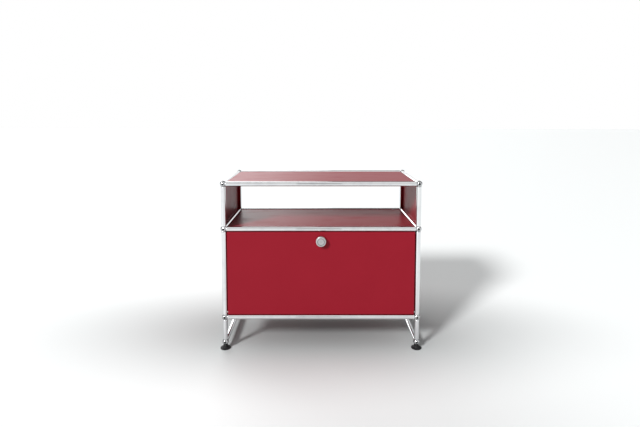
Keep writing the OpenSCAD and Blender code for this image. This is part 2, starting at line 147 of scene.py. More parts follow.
class Surface:
    """A mesh gathered from grids of points, each closed round its second axis."""

    def __init__(self) -> None:
        """Starts with no points."""
        self.points: list[Array] = []
        self.bores: list[Array] = []
        self.quads: list[Array] = []
        self.count = 0

    def add(self, grid: Array, bore: Any = 0.0) -> "Surface":
        """Adds one grid: each cell between neighbouring rows and columns is a face.

        Args:
            grid: rows by columns by 3 array. A row of equal points closes a pole.
            bore: 1 where a point lies inside a tapped hole, for the finish to paint shade there.

        Returns:
            This surface.
        """
        rows, cols = grid.shape[:2]
        index = np.arange(rows * cols).reshape(rows, cols) + self.count
        right = np.roll(index, -1, axis=1)
        cells = np.stack([index[:-1], right[:-1], right[1:], index[1:]], axis=2)
        self.points.append(grid.reshape(-1, 3))
        self.bores.append(np.broadcast_to(bore, (rows, cols)).reshape(-1))
        self.quads.append(cells.reshape(-1, 4))
        self.count += rows * cols
        return self

    def piece(self, name: str, body: str, slot: Slot, *replaced: str) -> bpy.types.Object:
        """Makes the object: equal points are merged and faces turned outwards.

        Args:
            name: of the object.
            body: the body that it rides on.
            slot: the record's material slot; not used.
            replaced: CAD nodes that it stands for.

        Returns:
            The new object, at the origin.
        """
        points = np.concatenate(self.points)
        quads = np.concatenate(self.quads)
        _, first, merged = np.unique(
            np.round(points * 1e6).astype(np.int64), axis=0, return_index=True, return_inverse=True
        )
        points, quads = points[first], merged.reshape(-1)[quads]
        same = quads == np.roll(quads, -1, axis=1)
        whole = quads[same.sum(axis=1) == 0]
        pinched = same.sum(axis=1) == 1
        start = same[pinched].argmax(axis=1)[:, None] + 1
        thirds = np.take_along_axis(quads[pinched], (start + np.arange(3)) % 4, axis=1)
        if volume(points, whole, thirds) < 0:
            whole, thirds = whole[:, ::-1], thirds[:, ::-1]
        mesh = bpy.data.meshes.new(name)
        mesh.vertices.add(len(points))
        mesh.vertices.foreach_set("co", points.ravel())
        corners = np.concatenate([whole.ravel(), thirds.ravel()]).astype(np.int32)
        sizes = np.repeat([4, 3], [len(whole), len(thirds)])
        mesh.loops.add(len(corners))
        mesh.loops.foreach_set("vertex_index", corners)
        mesh.polygons.add(len(sizes))
        mesh.polygons.foreach_set("loop_start", (np.cumsum(sizes) - sizes).astype(np.int32))
        mesh.polygons.foreach_set("use_smooth", np.ones(len(sizes), bool))
        bores = np.concatenate(self.bores)[first].astype(np.float32)
        if bores.any():
            mesh.attributes.new(BORE, "FLOAT", "POINT").data.foreach_set("value", bores)
        mesh.update(calc_edges=True)
        mesh.validate()
        mesh.set_sharp_from_angle(angle=SHARP)
        obj = bpy.data.objects.new(name, mesh)
        bpy.context.collection.objects.link(obj)
        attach(obj, body)
        if replaced:
            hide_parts(*replaced)
        return obj


def volume(points: Array, quads: Array, thirds: Array) -> float:
    """Signed volume: the sum of a . (b x c) / 6 over the triangles a, b, c.

    Args:
        points: n by 3 array.
        quads: faces of four corners.
        thirds: faces of three corners.

    Returns:
        Positive where the faces point outwards.
    """
    tris = np.concatenate([quads[:, [0, 1, 2]], quads[:, [0, 2, 3]], thirds])
    a, b, c = (points[tris[:, k]] for k in range(3))
    return float(np.einsum("ij,ij->i", a, np.cross(b, c)).sum() / 6)


def box_of(node: str) -> tuple[Array, Array]:
    """Lowest and highest corner of a CAD node, as arrays."""
    low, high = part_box(node)
    return np.array(low), np.array(high)


# ---------------------------------------------------------------------------
# Shader graphs
# ---------------------------------------------------------------------------


class Signal:
    """One number or vector in a shader graph, with arithmetic that adds Math nodes."""

    def __init__(self, graph: "Graph", socket: bpy.types.NodeSocket) -> None:
        """Wraps a socket of a graph."""
        self.graph = graph
        self.socket = socket

    def math(self, operation: str, *values: Any) -> "Signal":
        """A Math node of this and further values.

        Args:
            operation: of the Math node.
            values: the other operands.

        Returns:
            Its result.
        """
        return self.graph.math(operation, self, *values)

    def __add__(self, other: Any) -> "Signal":
        """Sum."""
        return self.math("ADD", other)

    __radd__ = __add__

    def __mul__(self, other: Any) -> "Signal":
        """Product."""
        return self.math("MULTIPLY", other)

    __rmul__ = __mul__

    def __sub__(self, other: Any) -> "Signal":
        """Difference."""
        return self.math("SUBTRACT", other)

    def __rsub__(self, other: Any) -> "Signal":
        """Difference from a plain number."""
        return self.graph.math("SUBTRACT", other, self)

    def above(self, edge: float, width: float) -> "Signal":
        """Smooth step from 0 to 1 as the value passes edge.

        Args:
            edge: middle of the step.
            width: of the step.

        Returns:
            A value from 0 to 1.
        """
        node = self.graph.node(
            "ShaderNodeMapRange",
            {"interpolation_type": "SMOOTHSTEP"},
            {0: self, 1: edge - width / 2, 2: edge + width / 2},
        )
        return Signal(self.graph, node.outputs[0])


class Graph:
    """Node tree of one material round a Principled shader, or of a world round its background."""

    def __init__(self, owner: bpy.types.ID, shader: str, **constants: Any) -> None:
        """Turns the owner's nodes on.

        Args:
            owner: a new material or world.
            shader: name of its shader node.
            constants: values set on the shader's own sockets, with _ for a space.
        """
        self.owner = owner
        owner.use_nodes = True
        self.tree = owner.node_tree
        self.shader = self.tree.nodes[shader]
        for key, value in constants.items():
            self.shader.inputs[key.replace("_", " ")].default_value = value

    @classmethod
    def finish(cls, name: str, **constants: Any) -> "Graph":
        """Graph of a new material with this name and these constants."""
        return cls(bpy.data.materials.new(name), "Principled BSDF", **constants)

    def node(self, kind: str, settings: dict[str, Any], inputs: dict[Any, Any]) -> bpy.types.Node:
        """Adds a node.

        Args:
            kind: the node's type.
            settings: its properties, set first.
            inputs: socket name or index to a Signal or a value.

        Returns:
            The node.
        """
        made = self.tree.nodes.new(kind)
        for key, value in settings.items():
            setattr(made, key, value)
        for key, value in inputs.items():
            if isinstance(value, Signal):
                self.tree.links.new(value.socket, made.inputs[key])
            else:
                made.inputs[key].default_value = value
        return made

    def math(self, operation: str, *values: Any) -> Signal:
        """Result of a Math node on signals and numbers."""
        made = self.node("ShaderNodeMath", {"operation": operation}, dict(enumerate(values)))
        return Signal(self, made.outputs[0])

    def vector(self, operation: str, *values: Any, output: int = 0) -> Signal:
        """Result of a Vector Math node on signals and vectors."""
        made = self.node("ShaderNodeVectorMath", {"operation": operation}, dict(enumerate(values)))
        return Signal(self, made.outputs[output])

    def spot(self, kind: str) -> Signal:
        """One output of a Texture Coordinate node."""
        return Signal(self, self.node("ShaderNodeTexCoord", {}, {}).outputs[kind])

    def place(self) -> Signal:
        """The point's own place on the object, in metres."""
        return self.spot("Object")

    def noise(self, scale: float, detail: float = 2.0, at: Signal | None = None) -> Signal:
        """Fractal noise from 0 to 1.

        Args:
            scale: waves in a metre.
            detail: octaves.
            at: where it is read, the point's own place if None.

        Returns:
            The noise value.
        """
        made = self.node(
            "ShaderNodeTexNoise", {}, {"Vector": at or self.place(), "Scale": scale, "Detail": detail}
        )
        return Signal(self, made.outputs["Fac"])

    def cells(self, scale: float) -> Signal:
        """Distance to the nearest of scattered points, scale of them to a metre."""
        made = self.node("ShaderNodeTexVoronoi", {}, {"Vector": self.place(), "Scale": scale})
        return Signal(self, made.outputs["Distance"])

    def blend(self, share: Signal, low: Vec | Signal, high: Vec | Signal) -> Signal:
        """Colour between low and high.

        Args:
            share: 0 for low and 1 for high.
            low: red, green, blue, or a colour signal.
            high: the same.

        Returns:
            The colour.
        """
        ends = [end if isinstance(end, Signal) else (*end, 1.0) for end in (low, high)]
        made = self.node("ShaderNodeMix", {"data_type": "RGBA"}, {0: share, 6: ends[0], 7: ends[1]})
        return Signal(self, made.outputs[2])

    def stored(self, name: str) -> Signal:
        """Number stored on the mesh under this name."""
        made = self.node("ShaderNodeAttribute", {"attribute_name": name}, {})
        return Signal(self, made.outputs["Fac"])

    def bump(self, height: Signal, depth: float, before: Signal | None = None) -> Signal:
        """Normal tilted by a height.

        Args:
            height: from 0 to 1.
            depth: metres that 1 stands for.
            before: a normal that this one adds to.

        Returns:
            The normal.
        """
        links: dict[Any, Any] = {"Height": height, "Distance": depth, "Strength": 1.0}
        if before is not None:
            links["Normal"] = before
        return Signal(self, self.node("ShaderNodeBump", {}, links).outputs[0])

    def dress(self, **links: Signal) -> bpy.types.ID:
        """Links signals to the shader's sockets, with _ for a space, and returns the owner."""
        for key, signal in links.items():
            self.tree.links.new(signal.socket, self.shader.inputs[key.replace("_", " ")])
        return self.owner


# ---------------------------------------------------------------------------
# Finishes
# ---------------------------------------------------------------------------


@dataclass(frozen=True)
class ChromePlate:
    """Polished chrome with faint handling marks; inside tapped holes, painted shade makes it near black,
    and it is rougher there.
    """

    bright: Vec = (0.80, 0.81, 0.82)
    dull: Vec = (0.70, 0.71, 0.73)
    # near black of the painted shade inside tapped holes
    hole_shade: Vec = (0.035, 0.033, 0.032)
    polish: float = 0.022
    smear: float = 0.06

    def material(self, tapped: bool = False) -> bpy.types.Material:
        """Smears come from broad noise, hairlines from noise stretched along the height.

        Args:
            tapped: whether the piece has tapped holes, marked on its mesh.

        Returns:
            The material.
        """
        g = Graph.finish("chrome_plate_tapped" if tapped else "chrome_plate", Metallic=1.0)
        smears = g.noise(22.0, 4.0).above(0.56, 0.22)
        film = g.noise(140.0, 3.0)
        stretched = g.vector("MULTIPLY", g.place(), (1.0, 1.0, 0.06))
        hairs = g.noise(2600.0, 1.0, stretched).above(0.72, 0.08)
        rough = self.polish + smears * film * self.smear + hairs * 0.05
        wave = g.bump(g.noise(55.0, 1.0), 0.00004)
        colour = g.blend(smears * 0.6 + film * 0.4, self.bright, self.dull)
        # painted shade: points inside a tapped hole are blended to near black, and made rougher
        if tapped:
            hole_shade_mask = g.stored(BORE)
            colour = g.blend(hole_shade_mask, colour, self.hole_shade)
            rough = rough + hole_shade_mask * 0.4
        return g.dress(Base_Color=colour, Roughness=rough, Normal=g.bump(film, 0.000004, wave))


@dataclass(frozen=True)
class PowderCoat:
    """Semi-gloss powder coat on sheet steel, with a fine orange peel."""

    deep: Vec = (0.220, 0.0060, 0.015)
    light: Vec = (0.258, 0.0085, 0.020)
    gloss: float = 0.33
    peel: float = 0.00002

    def material(self) -> bpy.types.Material:
        """Peel and grain come from fine noise, sheet waves and wiping marks from broad noise."""
        g = Graph.finish("powder_coat", IOR=1.21)
        broad = g.noise(7.0, 3.0)
        grain = g.noise(900.0, 3.0)
        wiped = g.noise(26.0, 4.0, g.vector("MULTIPLY", g.place(), (0.35, 1.0, 1.0))).above(0.6, 0.25)
        specks = 1.0 - g.cells(240.0).above(0.07, 0.05)
        rough = self.gloss + broad * 0.05 + wiped * 0.05 + grain * 0.04
        sheet = g.bump(g.noise(4.5, 1.0), 0.0011)
        peel = g.bump(g.noise(620.0, 2.0), self.peel, sheet)
        return g.dress(
            Base_Color=g.blend(broad * 0.5 + grain * 0.3 + specks * 0.12, self.deep, self.light),
            Roughness=rough,
            Normal=g.bump(grain, self.peel * 0.3, peel),
        )


@dataclass(frozen=True)
class TurnedSatin:
    """Satin grey metal with the fine rings that turning leaves round an axis along Y.

    Painted shade darkens the ring groove, as the share of it between the groove's two edges.
    """

    centre: Vec
    groove_r: float
    bright: Vec = (0.52, 0.525, 0.53)
    dull: Vec = (0.42, 0.425, 0.43)
    # dark grey of the painted shade in the ring groove
    groove_shade: Vec = (0.10, 0.10, 0.10)
    groove_w: float = 0.0030
    ring_pitch: float = 0.00035

    def material(self) -> bpy.types.Material:
        """Rings are a sine of the distance from the axis, broken up by fine noise."""
        g = Graph.finish("turned_satin", Metallic=0.75)
        offset = g.vector("SUBTRACT", g.place(), tuple(self.centre))
        flat = g.vector("MULTIPLY", offset, (1.0, 0.0, 1.0))
        away = g.vector("LENGTH", flat, output=1)
        mottle = g.noise(420.0, 3.0)
        rings = (away * (2 * math.pi / self.ring_pitch) + mottle * 2.5).math("SINE") * 0.5 + 0.5
        worn = g.noise(90.0, 3.0)
        soft = self.groove_w * 0.8
        outer = away.above(self.groove_r + self.groove_w / 2, soft)
        inner = away.above(self.groove_r - self.groove_w / 2, soft)
        metal = g.blend(worn * 0.6 + rings * 0.25, self.dull, self.bright)
        # painted shade: the ring groove, between inner and outer, is blended towards a dark grey
        return g.dress(
            Base_Color=g.blend((inner - outer) * 0.62, metal, self.groove_shade),
            Roughness=0.33 + worn * 0.1 + rings * 0.04,
            Normal=g.bump(mottle, 0.000008, g.bump(rings, 0.000006)),
        )


@dataclass(frozen=True)
class ZincPlate:
    """Zinc plated steel of the inner fittings, mottled and slightly yellow."""

    bright: Vec = (0.62, 0.61, 0.57)
    dull: Vec = (0.42, 0.42, 0.41)

    def material(self) -> bpy.types.Material:
        """Spangles come from scattered cells, tarnish from noise."""
        g = Graph.finish("zinc_plate", Metallic=1.0)
        spangle = g.cells(330.0)
        tarnish = g.noise(60.0, 4.0)
        return g.dress(
            Base_Color=g.blend(tarnish, self.dull, self.bright),
            Roughness=0.28 + spangle * 0.12 + tarnish * 0.12,
            Normal=g.bump(g.noise(1500.0, 2.0), 0.00001),
        )


@dataclass(frozen=True)
class MouldedPlastic:
    """Black moulded plastic with a fine spark-eroded grain."""

    dark: Vec = (0.008, 0.008, 0.009)
    worn: Vec = (0.022, 0.022, 0.023)

    def material(self) -> bpy.types.Material:
        """Grain is fine noise, and rubbed spots are a little lighter and smoother."""
        g = Graph.finish("moulded_plastic", IOR=1.30)
        grain = g.noise(1800.0, 2.0)
        rubbed = g.noise(70.0, 4.0).above(0.6, 0.2)
        return g.dress(
            Base_Color=g.blend(rubbed * 0.6 + grain * 0.4, self.dark, self.worn),
            Roughness=0.52 - rubbed * 0.14 + grain * 0.08,
            Normal=g.bump(grain, 0.00003),
        )


@dataclass(frozen=True)
class BufferRubber:
    """Dull dark rubber with a dusty bloom."""

    dark: Vec = (0.02, 0.02, 0.02)
    bloom: Vec = (0.06, 0.058, 0.055)

    def material(self) -> bpy.types.Material:
        """Bloom is broad noise, the skin is fine noise."""
        g = Graph.finish("buffer_rubber")
        dust = g.noise(120.0, 4.0)
        return g.dress(
            Base_Color=g.blend(dust, self.dark, self.bloom),
            Roughness=0.7 + dust * 0.2,
            Normal=g.bump(g.noise(2400.0, 2.0), 0.00002),
        )


# ---------------------------------------------------------------------------
# Frame of tubes and balls
# ---------------------------------------------------------------------------


@dataclass(frozen=True)
class Lattice:
    """Axes of the frame, read from the CAD tubes."""

    tube_r: float
    half_w: float
    y_front: float
    y_back: float
    levels: tuple[float, float, float, float]

    @classmethod
    def read(cls) -> "Lattice":
        """Works the axes out from the boxes of the tubes at the top and the other levels."""
        low, high = box_of("tubes_width_top")
        radius = (high[2] - low[2]) / 2
        names = ("tubes_width_top", "tubes_width_middle", "tubes_width_bottom", "tubes_depth_foot")
        heights = tuple(float(sum(box_of(n)[k][2] for k in (0, 1)) / 2) for n in names)
        side = box_of("tubes_depth_top")[1][0]
        return cls(radius, side - radius, low[1] + radius, high[1] - radius, heights)

    def corners(self, level: int) -> list[Array]:
        """The four ball centres of a level, 0 at the top and 3 at the feet."""
        return [
            np.array([x, y, self.levels[level]])
            for y in (self.y_front, self.y_back)
            for x in (-self.half_w, self.half_w)
        ]


@dataclass(frozen=True)
class Ball:
    """Ball connector with six tapped holes, tubes seated on some of them."""

    radius: float = 0.0125
    hole_r: float = 0.0034
    mouth_r: float = 0.0043
    hole_floor: float = 0.0043
    thread_pitch: float = 0.00125
    thread_deep: float = 0.0005
    seat_at: float = 0.0098
    around: int = 48
    rings: int = 9

    def hole_rows(self) -> Array:
        """Radius and height up a free hole, from its floor's middle to its chamfered mouth.

        Its wall is a zigzag of one ridge and one valley for each turn of the thread.
        """
        rim = math.sqrt(self.radius**2 - self.mouth_r**2)
        top = rim - (self.mouth_r - self.hole_r)
        turns = int((top - self.hole_floor) / self.thread_pitch)
        heights = np.linspace(self.hole_floor, top, 2 * turns + 1)
        radii = self.hole_r + self.thread_deep * (np.arange(2 * turns + 1) % 2)
        wall = np.stack([radii, heights], axis=1)
        return np.concatenate([[(0, self.hole_floor)], wall, [(self.mouth_r, rim)]])

    def inside(self, seated: bool) -> Array:
        """Column of 1 for the rows of a side that lie in its hole, and 0 for the others."""
        rows = len(self.seat_rows() if seated else self.hole_rows())
        mark = np.zeros((rows + self.rings, 1))
        mark[: 0 if seated else rows - 1] = 1.0
        return mark

    def seat_rows(self) -> Array:
        """Radius and height of the flat that a tube end stands on."""
        return np.array([(0, self.seat_at), (math.sqrt(self.radius**2 - self.seat_at**2), self.seat_at)])

    def side(self, facing: Vec, seated: bool) -> Array:
        """One sixth of the ball, round a frame direction.

        The direction of a point is (s cos t, s sin t, 1) made unit length, where t goes round
        and s grows from the hole's rim to the edge of a cube's face, 1 / max(|cos t|, |sin t|).

        Args:
            facing: the frame direction.
            seated: whether a tube stands here.

        Returns:
            Grid of points round the ball's centre.
        """
        rows = self.seat_rows() if seated else self.hole_rows()
        t = np.linspace(0, 2 * math.pi, self.around, endpoint=False)
        spin = np.stack([np.cos(t), np.sin(t)], axis=1)
        inner = revolved(rows, self.around)
        first = rows[-1, 0] / rows[-1, 1]
        edge = 1 / np.abs(spin).max(axis=1)
        share = np.linspace(0, 1, self.rings + 1)[1:, None]
        s = np.tan(np.arctan(first) * (1 - share) + np.arctan(edge) * share)
        ray = np.concatenate([s[..., None] * spin, np.ones((*s.shape, 1))], axis=2)
        shell = self.radius * ray / np.linalg.norm(ray, axis=2, keepdims=True)
        return placed(np.concatenate([inner, shell]), (0, 0, 0), facing)


@dataclass
class TubeFrame:
    """All tubes and balls of the cabinet."""

    lattice: Lattice
    finish: bpy.types.Material
    # darker chrome of the balls: painted shade for the darker reflections that they show
    ball_shaded_finish: bpy.types.Material
    ball: Ball = Ball()
    tube_around: int = 56
    end_roll: float = 0.0026
    pins: tuple[float, float] = (0.02, 0.0006)

    def tube(self, start: Array, end: Array) -> Array:
        """A tube between two ball centres, as a surface of revolution.

        Its ends are quarter ellipses that close in from the tube's radius to the ball's seat.
        Two rows below each end pin the straight part, so that its shading stays even.

        Args:
            start: first ball centre.
            end: second ball centre, further along a frame axis.

        Returns:
            Grid of points.
        """
        span = end - start
        length = float(np.linalg.norm(span))
        seat_r = float(self.ball.seat_rows()[-1, 0])
        half = length / 2 - self.ball.seat_at
        shrink = np.array([self.lattice.tube_r - seat_r, self.end_roll])
        roll = np.array([seat_r, half - self.end_roll]) + shrink * arc(1.0, 0, 90, 7)
        pinned = np.array([(self.lattice.tube_r, half - self.end_roll - d) for d in self.pins])
        upper = np.concatenate([pinned, roll, [(0, half)]])
        profile = np.concatenate([upper[::-1] * (1, -1), upper])
        return placed(revolved(profile, self.tube_around), (start + end) / 2, span / length)

    def run(self, name: str, pairs: list[tuple[Array, Array]]) -> None:
        """Makes one piece of several like tubes, in place of the node of the same name."""
        surface = Surface()
        for start, end in pairs:
            surface.add(self.tube(start, end))
        made = surface.piece(f"{name}_finished", Body.FRAME.value, Slot.CHROME, name)
        made.data.materials.append(self.finish)
        LOG.info("%s: %d tubes", name, len(pairs))

    def balls(self, name: str, level: int) -> None:
        """Makes the four balls of a level, open where no tube comes in."""
        surface = Surface()
        for centre in self.lattice.corners(level):
            across = [-math.copysign(1, centre[0]), 0, 0]
            middle = (self.lattice.y_front + self.lattice.y_back) / 2
            inward = [0, math.copysign(1, middle - centre[1]), 0]
            seated = [inward]
            seated += [across] if level < 3 else []
            seated += [[0, 0, 1]] if level > 0 else []
            seated += [[0, 0, -1]] if level < 3 else []
            for axis in range(3):
                for sign in (-1.0, 1.0):
                    facing = [sign * (axis == k) for k in range(3)]
                    held = facing in seated
                    surface.add(self.ball.side(facing, held) + centre, self.ball.inside(held))
        made = surface.piece(f"{name}_finished", Body.FRAME.value, Slot.CHROME, name)
        made.data.materials.append(self.ball_shaded_finish)
        LOG.info("%s: 4 balls", name)

    def build(self) -> None:
        """Builds every tube group and every level of balls."""
        levels = [self.lattice.corners(k) for k in range(4)]
        for k, place in enumerate(("top", "middle", "bottom", "foot")):
            at = levels[k]
            self.balls(f"balls_{place}", k)
            self.run(f"tubes_depth_{place}", [(at[0], at[2]), (at[1], at[3])])
            if k < 3:
                self.run(f"tubes_width_{place}", [(at[0], at[1]), (at[2], at[3])])
        top, middle, bottom, foot = levels
        self.run("posts_upper", list(zip(middle, top)))
        self.run("posts_lower_front", list(zip(bottom[:2], middle[:2])))
        self.run("posts_lower_back", list(zip(bottom[2:], middle[2:])))
        self.run("legs", list(zip(foot, bottom)))


# ---------------------------------------------------------------------------
# Folded panels
# ---------------------------------------------------------------------------


@dataclass(frozen=True)
class Tray:
    """Folded sheet tray: a flat field with a flange all round, drawn facing +Z."""

    width: float
    height: float
    deep: float
    sheet: float = 0.00125
    fold: float = 0.0025
    corner_steps: int = 7
    side_steps: int = 12
    lead_in: float = 0.004
    fold_pin: float = 0.0008
    rim_pin: float = 0.0012

    def section(self) -> Array:
        """Inset from the outline and height, from the face, round the rim, to the inside."""
        outer = np.array([self.fold, -self.fold]) + arc(self.fold, 90, 180, 8)
        inner_r = self.fold - self.sheet
        inner = np.array([self.fold, -self.fold]) + arc(inner_r, 180, 90, 8)
        lip = self.sheet / 2
        rim = np.array([lip, lip - self.deep]) + arc(lip, 180, 360, 9)
        lead = self.fold + self.lead_in
        pins = -self.fold - self.fold_pin, -self.deep + self.rim_pin
        front = np.array([(0, z) for z in pins])
        back = np.array([(self.sheet, z) for z in pins[::-1]])
        return np.concatenate([[(lead, 0)], outer, front, rim, back, inner, [(lead, -self.sheet)]])

    def outline(self, inset: Array) -> Array:
        """Rounded rectangles, one for each inset.

        Each corner is an arc about a point fold inside both edges while the inset is smaller
        than the fold, and a sharp corner from there on. Points go round from the right side.

        Args:
            inset: n distances from the tray's edge.

        Returns:
            n by points by 2 array.
        """
        inset = inset[:, None]
        radius = np.maximum(self.fold - inset, 0)
        reach = np.maximum(self.fold, inset)
        hx, hy = self.width / 2 - reach, self.height / 2 - reach
        turn = np.radians(np.linspace(0, 90, self.corner_steps))
        parts = []
        for quarter, (sx, sy) in enumerate(((1, 1), (-1, 1), (-1, -1), (1, -1))):
            a = turn + math.pi / 2 * quarter
            parts.append(np.stack([sx * hx + radius * np.cos(a), sy * hy + radius * np.sin(a)], 2))
        filled = []
        share = np.linspace(0, 1, self.side_steps + 1)[1:-1, None]
        for part, following in zip(parts, parts[1:] + parts[:1]):
            a, b = part[:, -1:], following[:, :1]
            filled += [part, a * (1 - share) + b * share]
        return np.concatenate(filled, axis=1)

    def grid(self, hole: tuple[float, float, float] | None = None) -> Array:
        """The whole tray as one grid, its two fields closed at a point or at a round hole.

        Args:
            hole: x, y and radius of a hole through the field, or None.

        Returns:
            Rows by columns by 3 array.
        """
        section = self.section()
        ring = self.outline(section[:, 0])
        rows = np.concatenate([ring, np.broadcast_to(section[:, 1:, None], (*ring.shape[:2], 1))], axis=2)
        if hole is None:
            tops = [np.full_like(rows[:1], 0) + (0, 0, z) for z in (0, -self.sheet)]
            return np.concatenate([tops[0], rows, tops[1]])
        away = rows[0, :, :2] - hole[:2]
        unit = away / np.linalg.norm(away, axis=1, keepdims=True)
        edge = hole[:2] + unit * hole[2]
        levels = [np.concatenate([edge, np.full((len(edge), 1), z)], 1)[None] for z in (0, -self.sheet)]
        return np.concatenate([levels[0], rows, levels[1], levels[0]])


@dataclass
class Panels:
    """The folded panels of the frame."""

    finish: bpy.types.Material

    def panel(self, name: str, facing: Vec) -> None:
        """Makes a tray in place of a panel node.

        Args:
            name: of the node.
            facing: the way its outer face looks.
        """
        low, high = box_of(name)
        size = np.abs(basis(facing) @ (high - low))
        middle = (low + high) / 2 + np.asarray(facing) * size[2] / 2
        tray = Tray(size[0], size[1], size[2])
        surface = Surface().add(placed(tray.grid(), middle, facing))
        made = surface.piece(f"{name}_finished", Body.FRAME.value, Slot.RED, name)
        made.data.materials.append(self.finish)
        LOG.info("%s: %.0f by %.0f mm", name, size[0] * 1000, size[1] * 1000)

    def build(self) -> None:
        """Builds the level panels, the sides and the back."""
        for name in ("top_panel", "shelf_panel", "bottom_panel"):
            self.panel(name, (0, 0, 1))
        for bay in ("upper", "lower"):
            self.panel(f"side_panel_{bay}_left", (-1, 0, 0))
            self.panel(f"side_panel_{bay}_right", (1, 0, 0))
        self.panel("back_panel", (0, 1, 0))


# ---------------------------------------------------------------------------
# Door and lock
# ---------------------------------------------------------------------------


@dataclass
class Door:
    """The drop-down door with its lock bush."""

    paint: bpy.types.Material
    satin: bpy.types.Material
    facing: Vec = (0, -1, 0)
    lip_over: float = 0.0012
    lip_t: float = 0.001
    lip_ease: float = 0.0004
    bore_r: float = 0.00605
    hole_gap: float = 0.00005

    def build(self) -> None:
        """Builds the door's tray and the bush that the knob turns in."""
        low, high = box_of("door_panel")
        size = high - low
        tray = Tray(size[0], size[2], size[1])
        bush_low, bush_high = box_of("lock_bush")
        centre = (bush_low + bush_high) / 2
        lip_r = (bush_high[0] - bush_low[0]) / 2
        bush_r = lip_r - self.lip_over
        middle = np.array([(low[0] + high[0]) / 2, low[1], (low[2] + high[2]) / 2])
        hole = (centre[0] - middle[0], centre[2] - middle[2], bush_r + self.hole_gap)
        surface = Surface().add(placed(tray.grid(hole), middle, self.facing))
        made = surface.piece("door_panel_finished", Body.DOOR.value, Slot.RED, "door_panel")
        made.data.materials.append(self.paint)
        self.bush(np.array([centre[0], low[1], centre[2]]), lip_r, bush_r, bush_high[1] - low[1])
        LOG.info("door: %.0f by %.0f mm", size[0] * 1000, size[2] * 1000)

    def bush(self, centre: Array, lip_r: float, bush_r: float, deep: float) -> None:
        """The bush as a ring of revolution with a rounded lip outside the door.

        Args:
            centre: point of its axis on the door's face.
            lip_r: radius of the lip.
            bush_r: radius of the barrel.
            deep: how far the barrel reaches inside.
        """
        ease, top = self.lip_ease, self.lip_t
        rim = np.array([lip_r - ease, top - ease]) + arc(ease, 0, 90, 5)
        outside = [(bush_r, -deep), (bush_r, 0), (lip_r, 0), *rim]
        loop = [*outside, (self.bore_r, top), (self.bore_r, -deep), (bush_r, -deep)]
        surface = Surface().add(placed(revolved(np.array(loop)), centre, self.facing))
        made = surface.piece("lock_bush_finished", Body.DOOR.value, Slot.SATIN, "lock_bush")
        made.data.materials.append(self.satin)


